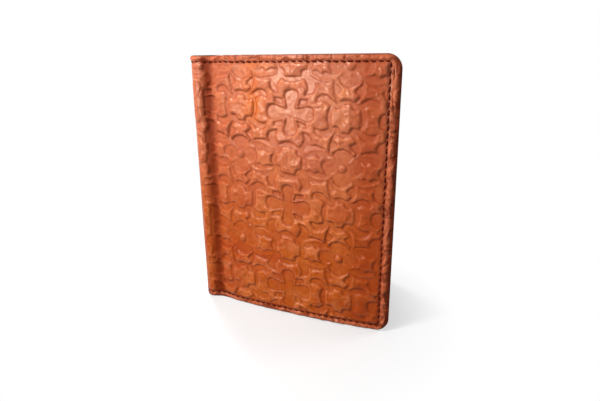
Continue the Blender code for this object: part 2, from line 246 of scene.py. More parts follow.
table = Recipe("white_table")
table.tree.nodes.remove(table.shader)
matt = table.node("ShaderNodeBsdfDiffuse")
glow = table.node("ShaderNodeEmission")
glow.inputs["Strength"].default_value = 1.0
path = table.node("ShaderNodeLightPath")
seen = table.maths("MAXIMUM", path.outputs["Is Camera Ray"], path.outputs["Is Glossy Ray"])
seen = table.maths("MAXIMUM", seen, path.outputs["Is Transmission Ray"])
table.link(table.spread(seen, 0, 1, FLOOR_THROWN_BACK, FLOOR_WHITE), matt.inputs["Color"])
place = table.node("ShaderNodeNewGeometry").outputs["Position"]
from_middle = table.distance(place, (0, -0.012, 0))
from_spine = table.distance(table.scaled(place, (1.3, 0.5, 1)), (-0.050, 0, 0))
nearer = table.maths("MINIMUM", from_middle, from_spine)
far = table.spread(nearer, SHADOW_NEAR, SHADOW_FAR, 0.46, 1.0)
join = table.node("ShaderNodeMixShader")
table.link(table.maths("MULTIPLY", seen, far), join.inputs["Fac"])
table.link(matt.outputs["BSDF"], join.inputs[1])
table.link(glow.outputs["Emission"], join.inputs[2])
table.link(join.outputs["Shader"], table.tree.nodes["Material Output"].inputs["Surface"])
floor_mesh.materials.append(table.material)
print("the shadow fades out between", SHADOW_NEAR, "and", SHADOW_FAR, "m from the holder's middle")

# %% [markdown]
# The surroundings are white as well. They could light the scene by themselves, but light from all sides
# flattens the embossing. So the camera, mirrorings and clear pieces see full white, while the leather
# gets only a faint fill light from it.

# %% White surroundings
FILL_LIGHT = 0.10
world = bpy.data.worlds.new("surroundings")
bpy.context.scene.world = world
world.use_nodes = True
sky = world.node_tree.nodes
sky_link = world.node_tree.links.new
sky_path = sky.new("ShaderNodeLightPath")
seen_or_mirrored = sky.new("ShaderNodeMath")
seen_directly = sky.new("ShaderNodeMath")
for step in (seen_or_mirrored, seen_directly):
    step.operation = "MAXIMUM"
sky_link(sky_path.outputs["Is Camera Ray"], seen_or_mirrored.inputs[0])
sky_link(sky_path.outputs["Is Glossy Ray"], seen_or_mirrored.inputs[1])
sky_link(seen_or_mirrored.outputs["Value"], seen_directly.inputs[0])
sky_link(sky_path.outputs["Is Transmission Ray"], seen_directly.inputs[1])
sky_level = sky.new("ShaderNodeMapRange")
sky_level.inputs["To Min"].default_value = FILL_LIGHT
sky_level.inputs["To Max"].default_value = 1.0
sky_link(seen_directly.outputs["Value"], sky_level.inputs["Value"])
sky_link(sky_level.outputs["Result"], sky["Background"].inputs["Strength"])
sky["Background"].inputs["Color"].default_value = (1, 1, 1, 1)
print("surroundings light the leather at", FILL_LIGHT, "of full white")

# %% [markdown]
# Embossed leather shows its walls only where light grazes it. A large soft lamp in front would be kind
# to the colour and would hide the relief. So a small key lamp stands high on the left and grazes the
# front cover, a low one at the front left gives the sheen, and a wide weak one hangs above. Two more
# stand behind the holder, on the left for the back cover and on the right for the pockets.


# %% Studio lamps
def soft_lamp(name, place, target, width, height, power):
    lamp_data = bpy.data.lights.new(name, "AREA")
    lamp_data.shape = "ELLIPSE"
    lamp_data.size = width
    lamp_data.size_y = height
    lamp_data.energy = power
    lamp = bpy.data.objects.new(name, lamp_data)
    bpy.context.collection.objects.link(lamp)
    lamp.location = place
    lamp.visible_camera = False
    lamp.rotation_euler = (Vector(target) - Vector(place)).to_track_quat("-Z", "Y").to_euler()


soft_lamp("key_lamp", (-0.21, -0.20, 0.40), (0, 0, 0.09), 0.08, 0.08, 1.82)
soft_lamp("sheen_lamp", (-0.215, -0.285, 0.115), (0, -0.02, 0.12), 0.13, 0.08, 0.77)
soft_lamp("head_lamp", (-0.10, 0.10, 0.60), (0, 0, 0.05), 0.40, 0.40, 0.36)
soft_lamp("back_lamp", (-0.22, 0.31, 0.36), (0, 0.02, 0.07), 0.16, 0.16, 2.0)
soft_lamp("inside_lamp", (0.42, 0.14, 0.26), (0, 0, 0.07), 0.25, 0.25, 1.1)
bpy.context.scene.view_settings.view_transform = "Standard"
print("stage and", len(bpy.data.lights), "lamps are in place")

# %% [markdown]
# The outer leather is one continuous hide that runs from the front cover round the spine to the back
# cover. Three stiff plates would leave breaks where the real hide bends. So it is drawn flat, as a
# leatherworker cuts it: s is the distance from the middle of the spine, and z is the height. A path in
# plan then says where each s lies on the standing holder.


# %% A cover's curve in plan
def on_cover(side, u, outward):
    """Plan points at u from the hinge axis and this far out from the cover's middle surface, at rest."""
    slope = COVER_BOW / 2 - u / BOW_RADIUS
    along = BOW_RADIUS * (math.sin(COVER_BOW / 2) - np.sin(slope)) - outward * np.sin(slope)
    bulge = BOW_RADIUS * (np.cos(slope) - math.cos(COVER_BOW / 2)) + outward * np.cos(slope)
    turn = side * REST_OPENING
    y = side * bulge
    return np.stack(
        [
            HINGE_X + along * math.cos(turn) - y * math.sin(turn),
            side * HINGE_OFFSET + along * math.sin(turn) + y * math.cos(turn),
        ],
        -1,
    )


fore_edge = on_cover(FRONT, np.array([COVER_REACH]), 0)[0]
print("in plan, the front cover ends at", [round(float(v), 4) for v in fore_edge])

# %% The path of the outer leather in plan
PATH_STEP = 0.1 * MM
EASED_STEPS = 30
EASED_WIDTH = 9


def sharp_path():
    """The front half's outer face in plan, from the middle of the spine round to the fore-edge."""
    straight = HALF_SPINE - SPINE_RADIUS
    points = [(-SPINE_REACH, -straight * share) for share in np.linspace(0, 1, 8)]
    for angle in np.linspace(0, math.pi / 2, 40)[1:]:
        points.append(
            (-SPINE_REACH + SPINE_RADIUS * (1 - math.cos(angle)), -straight - SPINE_RADIUS * math.sin(angle))
        )
    points = np.array(points) + (HINGE_X, 0)
    return np.vstack([points, on_cover(FRONT, np.linspace(0, COVER_REACH, 400), COVER_HALF)])


def hide_path():
    """The same path with its corners eased, as leather takes them: distances s, points and normals."""
    points = sharp_path()
    run = np.concatenate([[0], np.cumsum(np.hypot(*np.diff(points, axis=0).T))])
    s = np.arange(0, run[-1], PATH_STEP)
    line = np.stack([np.interp(s, run, points[:, k]) for k in (0, 1)], -1)
    mirrored = np.vstack([line[:0:-1] * (1, -1), line])
    weights = np.exp(-0.5 * (np.arange(-EASED_STEPS, EASED_STEPS + 1) / EASED_WIDTH) ** 2)
    weights /= weights.sum()
    ahead_of_tip = line[-1] + np.outer(np.arange(1, EASED_STEPS + 1), line[-1] - line[-2])
    padded = np.vstack([mirrored[:EASED_STEPS], mirrored, ahead_of_tip])
    soft = np.stack([np.convolve(padded[:, k], weights, "valid") for k in (0, 1)], -1)
    line = soft[len(line) - 1 :]
    line[0, 1] = 0
    tangent = np.gradient(line, axis=0)
    tangent /= np.linalg.norm(tangent, axis=1)[:, None]
    normal = np.stack([tangent[:, 1], -tangent[:, 0]], -1)
    normal[0] = (-1, 0)
    return s, line, normal


PATH_S, PATH_POINT, PATH_NORMAL = hide_path()
HIDE_END = float(PATH_S[-1])
HINGE_S = float(np.interp(HINGE_X, PATH_POINT[:, 0], PATH_S))
print("half of the hide is", round(HIDE_END / MM, 1), "mm wide, with the hinge at", round(HINGE_S / MM, 1))


# %% From the flat hide to the standing holder
def on_hide(side, s, z, depth):
    """World points at distance s and height z, this deep below the smooth outer face of one half."""
    point = np.stack([np.interp(s, PATH_S, PATH_POINT[:, k]) for k in (0, 1)], -1)
    normal = np.stack([np.interp(s, PATH_S, PATH_NORMAL[:, k]) for k in (0, 1)], -1)
    plan = point - normal * np.asarray(depth)[..., None]
    y = plan[..., 1] if side == FRONT else -plan[..., 1]
    worn_foot = 1.5 * MM * np.clip(1 - s / (5 * MM), 0, 1) ** 2 * np.clip(1 - z / (12 * MM), 0, 1)
    return np.stack([plan[..., 0], y, np.broadcast_to(z + worn_foot, y.shape)], -1)


spine_foot = on_hide(FRONT, np.array([0.0]), np.array([0.0]), 0.0)[0]
print("the worn foot of the spine is at", [round(float(v), 4) for v in spine_foot])

# %% [markdown]
# The ornament is the old floral cross that tooled leather often carries. A picture of it would lie flat
# on the cover, while a pressed pattern has real walls, so it is drawn as outlines. A press plate repeats
# it, and each repeat is the same in all four quarters, so one quarter is enough, in millimetres from the
# middle of a cross. Islands stand proud, and cuts take the cross and its windows out of them.

# %% One quarter of the ornament
CELL = (56.8, 48.2)
FRAME_LAND = [
    (-6, -6), (9, -6), (10.5, 3), (10.3, 5.4), (10.2, 7.4), (9.4, 9.2), (7.0, 8.7), (6.6, 9.4),
    (3, 9.5), (-6, 9),
]
BONE_BESIDE = [
    (9, -6), (9, 5.2), (11, 5.4), (12.7, 5.9), (15.9, 6.6), (17.9, 6.2), (20.0, 4.9), (19.1, 3.0),
    (18.6, 1.2), (18.5, 0), (18.6, -1.2), (19.1, -3.0), (20.0, -4.9),
]
BONE_ABOVE = [
    (-5.5, 16.1), (-2.8, 14.6), (0, 14.0), (2.8, 14.6), (5.5, 16.1), (6.9, 14.4), (7.8, 12.0),
    (7.0, 10.1), (6.8, 8.0), (-6, 8.0),
]
FISH = [
    (8.8, 9.0), (11.2, 10.2), (12.2, 11.8), (12.6, 13.2), (11.7, 14.8), (13.9, 14.2), (16.0, 14.7),
    (18.5, 15.1), (20.9, 16.5), (21.0, 13.5), (21.8, 10.3), (23.3, 6.8), (21.3, 8.3), (19.0, 10.0),
    (16.9, 10.3), (14.7, 9.8), (13.3, 8.8), (12.8, 7.3), (13.2, 5.7), (9.8, 5.0),
]
CROWN = [
    (22.2, 15.9), (23.7, 15.0), (24.9, 13.6), (25.4, 12.5), (24.6, 11.6), (23.0, 10.7), (23.6, 9.6),
    (25.1, 8.1), (26.8, 8.9), (28.4, 9.1), (30, 8.9), (33, 9.5), (33, 15.0), (30.4, 14.6), (28.4, 14.2),
    (26.4, 14.6), (24.6, 15.4), (23.5, 16.6), (22.9, 18.2),
]
SMALL_STAR = [
    (10.4, 25.2), (10.4, 23.0), (9.0, 20.6), (12.2, 20.9), (14.6, 19.5), (16.6, 20.9), (19.7, 19.7),
    (18.2, 22.0), (17.8, 24.1), (18.2, 26.2), (14.6, 28.7),
]
PETAL_LEDGE = [
    (8.7, 21.4), (9.0, 18.4), (11.0, 17.3), (13.8, 16.4), (17.1, 16.0), (20.8, 16.4), (22.0, 17.6),
    (23.5, 19.0), (25.3, 21.5), (22.8, 20.1), (21.0, 20.4), (19.6, 21.6), (19.0, 22.6), (12.3, 21.8),
]
CROSS_ARM = [
    (-4, 2.4), (0, 2.3), (3, 2.5), (5.5, 3.0), (8, 3.8), (9.6, 4.0), (11.2, 3.6), (12.4, 2.4),
    (12.9, 0), (12.4, -2.4), (-4, -2.4),
]
CROSS_HEAD = [
    (2.4, -4), (2.5, 3), (2.9, 5.2), (3.5, 7.0), (3.7, 8.4), (3.3, 9.9), (2.2, 11.0), (0, 11.5),
    (-2.2, 11.0), (-2.4, -4),
]
WINDOW = [(3.7, 3.5), (6, 3.9), (8.7, 4.9), (8.9, 7.2), (4.4, 6.9)]


def four_ways(quarter, middle):
    """A closed outline about the middle, from a quarter of it that runs from the X side up to the Y side."""
    right = quarter + [(-x, y) for x, y in quarter[::-1]]
    return [(middle[0] + x, middle[1] + y) for x, y in right + [(x, -y) for x, y in right[::-1]]]


LARGE_PILLOW = four_ways(
    [(7.3, 0.8), (7.3, 2.2), (6.5, 4.3), (4.7, 3.7), (3.2, 3.9), (2.5, 5.0), (1.8, 6.5), (0.6, 6.2)],
    (28.4, 0),
)
SMALL_PILLOW = four_ways(
    [(6.8, 0.8), (7.0, 2.9), (5.6, 3.0), (4.5, 3.7), (4.0, 4.8), (3.9, 6.4), (0.8, 6.6)], (0, 24.1)
)
ISLANDS = [FRAME_LAND, BONE_BESIDE, BONE_ABOVE, FISH, CROWN, SMALL_STAR, LARGE_PILLOW, SMALL_PILLOW]
CUTS = [CROSS_ARM, CROSS_HEAD, WINDOW]
print(len(ISLANDS), "islands and", len(CUTS), "cuts in a quarter of the ornament")

# %% [markdown]
# The height of the relief at a point comes from its distance to the nearest outline: it rises steeply at
# the wall and then swells slowly, as wet leather does between the edges of a plate. It could be sculpted
# by hand, but a formula can be read and changed. The whole pattern stands a little crooked on the cover,
# because the hide was cut after it was pressed, and soft random blotches keep it from looking machined.


# %% Distances and soft blotches
def inside_distance(x, y, outline):
    """Distance to a closed outline, positive inside it."""
    nearest = np.full(x.shape, 1e9)
    inside = np.zeros(x.shape, bool)
    for (ax, ay), (bx, by) in zip(outline, outline[1:] + outline[:1]):
        ex, ey = bx - ax, by - ay
        if ex == 0 and ey == 0:
            continue
        share = np.clip(((x - ax) * ex + (y - ay) * ey) / (ex * ex + ey * ey), 0, 1)
        nearest = np.minimum(nearest, (x - ax - ex * share) ** 2 + (y - ay - ey * share) ** 2)
        if ey != 0:
            inside ^= ((ay <= y) != (by <= y)) & (x < ax + (y - ay) * ex / ey)
    return np.where(inside, 1, -1) * np.sqrt(nearest)


def eased(value):
    share = np.clip(value, 0, 1)
    return share * share * (3 - 2 * share)


def blotches(x, y, size, seed):
    """Soft random blotches from -1 to 1, of about this size. The same seed gives the same blotches."""
    table_size = 64
    grid = np.random.RandomState(seed).uniform(-1, 1, (table_size, table_size))
    gx, gy = x / size, y / size
    ix, iy = np.floor(gx).astype(int), np.floor(gy).astype(int)
    fx, fy = eased(gx - ix), eased(gy - iy)

    def corner(dx, dy):
        return grid[(ix + dx) % table_size, (iy + dy) % table_size]

    lower = corner(0, 0) * (1 - fx) + corner(1, 0) * fx
    upper = corner(0, 1) * (1 - fx) + corner(1, 1) * fx
    return lower * (1 - fy) + upper * fy


print("blotches at three places:", np.round(blotches(np.array([0, 5, 9]), np.array([0, 2, 7]), 8, 41), 2))

# %% Relief of the ornament
CROSS_AT = (57.9, 64.3)
HEART_RADIUS = 1.95


def plate_place(x, z):
    """Where a place on the hide lies in the quarter of a repeat, in millimetres."""
    across = x - CROSS_AT[0] - ((z - 64.6) / 48) ** 2
    up = z - CROSS_AT[1]
    px = 0.998 * across - 0.027 * up
    py = 0.998 * up + 0.063 * across
    qx = np.abs((px + CELL[0] / 2) % CELL[0] - CELL[0] / 2)
    qy = np.abs((py + CELL[1] / 2) % CELL[1] - CELL[1] / 2)
    return qx, qy


def ornament(x, z):
    """Height of the pressed ornament, and the distance in from its nearest wall, all in millimetres."""
    qx, qy = plate_place(x, z)
    land = np.max([inside_distance(qx, qy, outline) for outline in ISLANDS], axis=0)
    cut = np.max([inside_distance(qx, qy, outline) for outline in CUTS], axis=0)
    within = np.minimum(land, -cut)
    height = 0.98 * eased((within + 0.22) / 0.7) + 0.27 * (1 - np.exp(-np.clip(within, 0, 9) / 1.5))
    ledge = inside_distance(qx, qy, PETAL_LEDGE)
    ledge = 0.12 * eased((ledge + 0.25) / 0.8) + 0.42 * np.exp(-(((ledge - 0.35) / 0.45) ** 2))
    centre = np.hypot(qx - CELL[0] / 2, qy - CELL[1] / 2)
    heart = 1.15 * np.sqrt(np.clip(1 - (centre / HEART_RADIUS) ** 2, 0, 1))
    return np.maximum(np.maximum(height, ledge), heart), np.maximum(within, HEART_RADIUS - centre)


sample = ornament(np.array([57.9, 86.0, 70.0]), np.array([64.3, 62.0, 64.3]))[0]
print("relief on the cross, a pillow and beside it:", np.round(sample, 2), "mm")

# %% [markdown]
# The border seam runs along the head, the fore-edge and the foot, and pulls a line into the leather. Its
# holes could be cut as real holes, but a thread fills each one, so a pucker at every hole is enough. Past
# the seam the hide turns over at the fore-edge.

# %% Border seam and turned fore-edge
STITCH_PITCH = 3.5 * MM
SEAM_INSET = 3.3 * MM
FORE_SEAM = HIDE_END - 5.2 * MM


def seam_distance(s, z):
    """Distance to the border seam, and the place along it that tells holes from stitches."""
    beyond = np.maximum(s - FORE_SEAM, 0)
    head = np.hypot(z - (HEIGHT - SEAM_INSET), beyond)
    foot = np.hypot(z - SEAM_INSET, beyond)
    off_end = np.maximum(np.abs(z - HEIGHT / 2) - (HEIGHT / 2 - SEAM_INSET), 0)
    fore = np.hypot(s - FORE_SEAM, off_end)
    level = np.minimum(head, foot)
    return np.minimum(level, fore), np.where(fore < level, z - SEAM_INSET, s)


def fore_shoulder(s, z):
    """How far the leather has begun to turn over at the fore-edge, from 0 on the flat to 1 at the edge."""
    centre = HIDE_END - CORNER_RADIUS
    off = np.maximum(np.abs(z - HEIGHT / 2) - (HEIGHT / 2 - CORNER_RADIUS), 0)
    reach = np.hypot(np.maximum(s - centre, 1e-9), off)
    sideways = np.maximum(s - centre, 0) / np.maximum(reach, 1e-9)
    return np.clip(1 - (CORNER_RADIUS - reach) / (3.6 * MM), 0, 1) * sideways


print("fore-edge seam at s =", round(FORE_SEAM / MM, 1), "mm")

# %% [markdown]
# Beside the spine, the outer face has a soft valley where each cover folds. Across the round of the spine
# run a few creases, and long pillows are pressed along it. A modifier could bend a flat plate into such
# a valley, but as a height it adds up with the rest of the relief.

# %% Fold valley, pillows and creases
VALLEY_S = 15.8 * MM
VALLEY_TO_SPINE = 5.8 * MM
VALLEY_TO_COVER = 10.5 * MM
VALLEY_DEPTH = 1.5 * MM
RIDGE_PILLOWS = [(105.4, 128.4, 8.3, 3.6, 1.25), (83.0, 101.5, 8.4, 3.0, 0.9), (44.0, 58.0, 8.4, 2.4, 0.6)]
SPINE_CREASES = [
    (133.6, 0.30, 0.5), (132.0, 0.26, 0.5), (130.6, 0.20, 0.6), (80.2, 0.24, 0.5), (78.6, 0.26, 0.5),
    (24.0, 0.15, 0.8),
]


def valley(s):
    half = np.where(s < VALLEY_S, VALLEY_TO_SPINE, VALLEY_TO_COVER)
    share = np.clip(np.abs(s - VALLEY_S) / half, 0, 1)
    return VALLEY_DEPTH * (1 - share) ** 2 * (1 + 0.6 * share)


def ridge_pillows(s, z):
    """Height of the pillows on the round of the spine, and the distance in from their edge."""
    height, within = 0 * s, 0 * s - 99
    for low, high, middle, half, rise in RIDGE_PILLOWS:
        corner = 0.9 * half
        beside = np.maximum(np.abs(s / MM - middle) - (half - corner), 0)
        beyond = np.maximum(np.abs(z / MM - (low + high) / 2) - ((high - low) / 2 - corner), 0)
        inward = corner - np.hypot(beside, beyond)
        share = np.clip((inward + 0.1) / 2.4, 0, 1)
        height = np.maximum(height, rise * np.sqrt(share * (2 - share)) * eased((s / MM - 3.5) / 3))
        within = np.maximum(within, inward)
    return height, within


def spine_creases(s, z):
    """Depth of the creases in millimetres, deepest on the shoulder of the spine."""
    ridge = np.exp(-(((s - 6.5 * MM) / (5.5 * MM)) ** 2)) * eased((s / MM - 2.5) / 3)
    dip = 0 * s
    for crease, depth, width in SPINE_CREASES:
        bend = crease + 0.5 * np.sin(s / MM * 0.55 + crease)
        dip = dip + ridge * depth * np.exp(-(((z / MM - bend) / width) ** 2))
    return dip


print("a valley", VALLEY_DEPTH / MM, "mm deep and", len(SPINE_CREASES), "creases across the spine")

# %% [markdown]
# All of this adds up to one height at each place on the outer face. The press went deeper in some places,
# the seam and the hem flatten the ornament, the hem crumples where it turns, and the soft leather keeps
# lumps and wrinkles. The marks for the dye, the painted shade and the painted highlights, from 0 to 1,
# could be painted afterwards. They are kept here instead, because the height already knows where each
# wall, fold and lip lies.

# %% Lumps, wrinkles and crumples
SPINE_UNDER_PLATE = -2.95


def under_plate(side, s):
    """The hide's place under the press plate in millimetres, running on from the front to the back."""
    run = s * (1 - np.exp(-((s / (1.2 * MM)) ** 2)))
    return (run if side == FRONT else -run) / MM + SPINE_UNDER_PLATE


def pressed_pattern(s, x, z):
    """The ornament as this hide took it: not equally deep, and a little out of line."""
    press = 0.78 + 0.22 * blotches(x, z, 26, 3) + 0.16 * np.exp(-(((s / MM - 25) / 12) ** 2))
    height, within = ornament(x + 0.4 * blotches(x, z, 8, 41), z + 0.4 * blotches(x, z, 8, 42))
    return height * press, within


def soft_surface(x, z, islands, pressed, over_spine):
    """Lumps, wrinkles and slow waves of the soft leather, in millimetres."""
    wrinkles = np.clip(1 - 5.0 * np.abs(blotches(x, z, 4.4, 12) - 0.05), 0, 1)
    on_islands = 0.25 * blotches(x, z, 3.2, 5) + 0.26 * eased(wrinkles)
    everywhere = 0.06 * blotches(x, z, 1.7, 6) * pressed + 0.14 * blotches(x, z, 17, 8)
    return on_islands * islands + everywhere * over_spine


def hem_crumples(x, z, border):
    """The folds of the crumpled hem and the lips beside them, which get a painted highlight, from 0 to 1."""
    cramp = blotches(x, z, 3.6, 31)
    folds = border * np.exp(-((cramp / 0.12) ** 2))
    hem_lip_highlight = border * np.exp(-(((np.abs(cramp) - 0.24) / 0.1) ** 2))
    return folds, hem_lip_highlight


print("under the plate, the front hinge is at", round(float(under_plate(FRONT, HINGE_S)), 1), "mm")

# %% Height of the outer face
FLATS_SUNK = 0.58
CRUMPLE_DEPTH = 0.36
FLARE_HEIGHT = 0.45
TURNED_DROP = 1.3


def outer_relief(side, s, z):
    """Height of the outer face over the smooth hide, in metres, and its marks."""
    x, up = under_plate(side, s), z / MM
    gap, along = seam_distance(s, z)
    outside = (s > FORE_SEAM) | (z > HEIGHT - SEAM_INSET) | (z < SEAM_INSET)
    border = np.where(outside, eased(gap / (1.2 * MM)), 0)
    over_spine = 0.06 + 0.94 * eased((s / MM - 5.0) / 8)
    pressed = (1 - 0.22 * border) * (1 - 0.9 * np.exp(-((gap / (1.1 * MM)) ** 2)))
    pattern, within = pressed_pattern(s, x, up)
    islands = pattern * pressed * over_spine
    pillows, within_pillow = ridge_pillows(s, z)
    folds, hem_lip_highlight = hem_crumples(x, up, border)
    flare = eased((z - HEIGHT + SEAM_INSET) / (1.2 * MM)) * (1 - eased((s - 2 * MM) / (5 * MM)))
    hole = 0.5 + 0.5 * np.cos(2 * math.pi * along / STITCH_PITCH)
    groove = (0.20 + 0.20 * hole) * np.exp(-((gap / (0.85 * MM)) ** 2))
    height = np.maximum(islands, pillows) - FLATS_SUNK - TURNED_DROP * fore_shoulder(s, z) ** 2
    height = height + soft_surface(x, up, islands, pressed, over_spine) + FLARE_HEIGHT * flare
    height = height - CRUMPLE_DEPTH * folds - groove - spine_creases(s, z)
    clear_of_seam = 1 - np.exp(-((gap / (1.3 * MM)) ** 2))

    def line_along_walls(inward, width):
        on_islands = np.exp(-(((within - inward) / width) ** 2)) * eased((s / MM - 3) / 6)
        on_pillows = np.exp(-(((within_pillow - inward) / width) ** 2))
        return np.maximum(on_islands, on_pillows) * clear_of_seam

    marks = {
        "ornament": np.clip(pattern / 1.4, 0, 1),
        # Painted shade with some gathered dye, at the feet of the walls and in the hem folds.
        "wall_foot_dye_and_shade": np.maximum(line_along_walls(-0.30, 0.38), 1.6 * folds),
        # Painted highlight with some burnish, on the rims of the walls and on the lips of the hem.
        "wall_rim_burnish_and_highlight": np.maximum(line_along_walls(0.75, 0.45), 2.5 * hem_lip_highlight),
        "hem": border,
    }
    return height * MM - valley(s), marks


sample = outer_relief(FRONT, np.array([50.0, 60.0, 70.0]) * MM, np.array([40.0, 70.0, 100.0]) * MM)[0]
print("height at three places of the front cover:", np.round(sample / MM, 2), "mm")

# %% [markdown]
# Each half of the hide is one closed mesh. Its outer face is a fine grid, its edge is a round of rings
# that turn over to the inside, and its hem ends at a tray that takes the board and the lining. A displace
# modifier on a plane would be shorter to write, but it can't turn the edge over. The two halves meet at
# the middle of the spine, and each one bends at its own hinge.

# %% Columns, rows and rings of the hide
GRID = 0.45 * MM
THICKNESS_COVER = 3.4 * MM
THICKNESS_SPINE = 2.9 * MM
HEM_WIDTH = 8 * MM
LEATHER = 1.2 * MM
ROW_COUNT = round(HEIGHT / GRID)
ROW_SHARE = np.linspace(0, 1, ROW_COUNT + 1)


def hide_thickness(s):
    return THICKNESS_SPINE + (THICKNESS_COVER - THICKNESS_SPINE) * eased((s - 10 * MM) / (8 * MM))


def outline_at(inset):
    """Columns of the hide's outline, drawn in by this much: their s and their lowest height."""
    radius = max(CORNER_RADIUS - inset, 0.4 * MM)
    end = HIDE_END - inset - radius
    straight = np.linspace(0, 1, round((HIDE_END - CORNER_RADIUS) / GRID) + 1) * end
    angle = np.linspace(0, math.pi / 2, round(CORNER_RADIUS * math.pi / 2 / GRID) + 1)[1:]
    s = np.concatenate([straight, end + radius * np.sin(angle)])
    low = inset + np.concatenate([np.zeros(len(straight)), radius * (1 - np.cos(angle))])
    return s, low


def edge_rings():
    """Rings from the outer face to the tray, as (inset, share of the thickness, extra depth, relief)."""
    rings = []
    for angle, fade in zip(np.radians([22.5, 45, 67.5, 90]), (0.85, 0.6, 0.35, 0.15)):
        rings.append((EDGE_ROUND * (1 - math.sin(angle)), 0, EDGE_ROUND * (1 - math.cos(angle)), fade))
    for angle in np.radians([90, 67.5, 45, 22.5, 0]):
        rings.append((EDGE_ROUND * (1 - math.sin(angle)), 1, -EDGE_ROUND * (1 - math.cos(angle)), 0))
    for inset in (2.6 * MM, 4.6 * MM, 6.8 * MM, HEM_WIDTH - 0.3 * MM):
        rings.append((inset, 1, 0, 0))
    rings.append((HEM_WIDTH, 1, -0.3 * MM, 0))
    rings.append((HEM_WIDTH, 0, LEATHER + 0.05 * MM, 0))
    return rings


print(ROW_COUNT, "rows,", len(outline_at(0)[0]), "columns and", len(edge_rings()), "edge rings")


# %% Faces between rows of points
def grid_quads(index):
    """The four-sided faces of a grid of point numbers."""
    return np.stack([index[:-1, :-1], index[1:, :-1], index[1:, 1:], index[:-1, 1:]], -1).reshape(-1, 4)


def rim_of(grid):
    """What stands along the rim of a grid, once round."""
    return np.concatenate([grid[:-1, 0], grid[-1, :-1], grid[:0:-1, -1], grid[0, :0:-1]])


def loop_quads(inner, outer):
    """The faces between two closed loops of point numbers."""
    return np.stack([np.roll(inner, -1), inner, outer, np.roll(outer, -1)], -1)


def new_mesh(name, places, faces, flip=False, sharp=50):
    mesh = bpy.data.meshes.new(name)
    mesh.from_pydata(places.tolist(), [], [face[::-1] for face in faces] if flip else faces)
    mesh.update()
    mesh.shade_smooth()
    mesh.set_sharp_from_angle(angle=math.radians(sharp))
    piece = bpy.data.objects.new(name, mesh)
    bpy.context.collection.objects.link(piece)
    return piece


print("a grid of 3 by 3 points has", len(grid_quads(np.arange(9).reshape(3, 3))), "faces")


# %% Outer face and edge rings of one half
def softened(height):
    """Averages each height with its neighbours, which rounds the sharp ridges between outlines."""
    for axis in (0, 1):
        inner = np.moveaxis(height, axis, 0)
        inner = np.concatenate([inner[:1], inner, inner[-1:]])
        inner = 0.12 * inner[:-2] + 0.76 * inner[1:-1] + 0.12 * inner[2:]
        height = np.moveaxis(inner, 0, axis)
    return height


def outer_face(side):
    """The grid of the outer face: its flat places, its height and its marks, hollows among them."""
    columns, low = outline_at(EDGE_ROUND)
    s = np.repeat(columns[:, None], ROW_COUNT + 1, 1)
    z = low[:, None] + (HEIGHT - 2 * low)[:, None] * ROW_SHARE[None]
    height, marks = outer_relief(side, s, z)
    blurred = marks["ornament"]
    for _ in range(9):
        blurred = softened(blurred)
    # Hollows among the islands, later darkened partly by gathered dye and partly by painted shade.
    marks["hollow_dye_and_shade"] = np.clip((blurred - marks["ornament"]) * 2.2, -1, 1)
    return s, z, softened(height), marks


def edge_ring(side, inset, share, extra, fade):
    """One ring, along the head, down the fore-edge and back along the foot: flat places, depth, marks."""
    columns, low = outline_at(inset)
    edge_rows = (low[-1] + (HEIGHT - 2 * low[-1]) * ROW_SHARE)[-2:0:-1]
    heads = np.stack([columns, HEIGHT - low], -1)
    feet = np.stack([columns[::-1], low[::-1]], -1)
    down = np.stack([np.full(len(edge_rows), columns[-1]), edge_rows], -1)
    ring = np.vstack([heads, down, feet])
    lift, marks = outer_relief(side, ring[:, 0], ring[:, 1])
    marks["hollow_dye_and_shade"] = 0 * lift
    depth = share * hide_thickness(ring[:, 0]) + extra - fade * lift
    if share == 0 and inset >= HEM_WIDTH:
        depth = depth + valley(ring[:, 0])
    elif share == 0:
        depth = depth + (1 - fade) * valley(ring[:, 0]) * 0.8
    return ring, depth, marks


print("one ring has", len(edge_ring(FRONT, HEM_WIDTH, 1, 0, 0)[0]), "points")


# %% Join them into one closed half
def closing_faces(index, last_ring, ring_ends):
    """The tray's floor, in strips from head to foot, and the cut face at the middle of the spine."""
    columns = len(index)
    heads, feet = last_ring[:columns], last_ring[::-1][:columns]
    faces = [[heads[i], feet[i], feet[i + 1], heads[i + 1]] for i in range(columns - 2)]
    faces.append(last_ring[columns - 2 : len(last_ring) - columns + 2][::-1])
    spine_cut = [foot for head, foot in ring_ends] + [head for head, foot in ring_ends[::-1]]
    faces.append([*index[0, ::-1], *spine_cut])
    return [[int(point) for point in face] for face in faces]


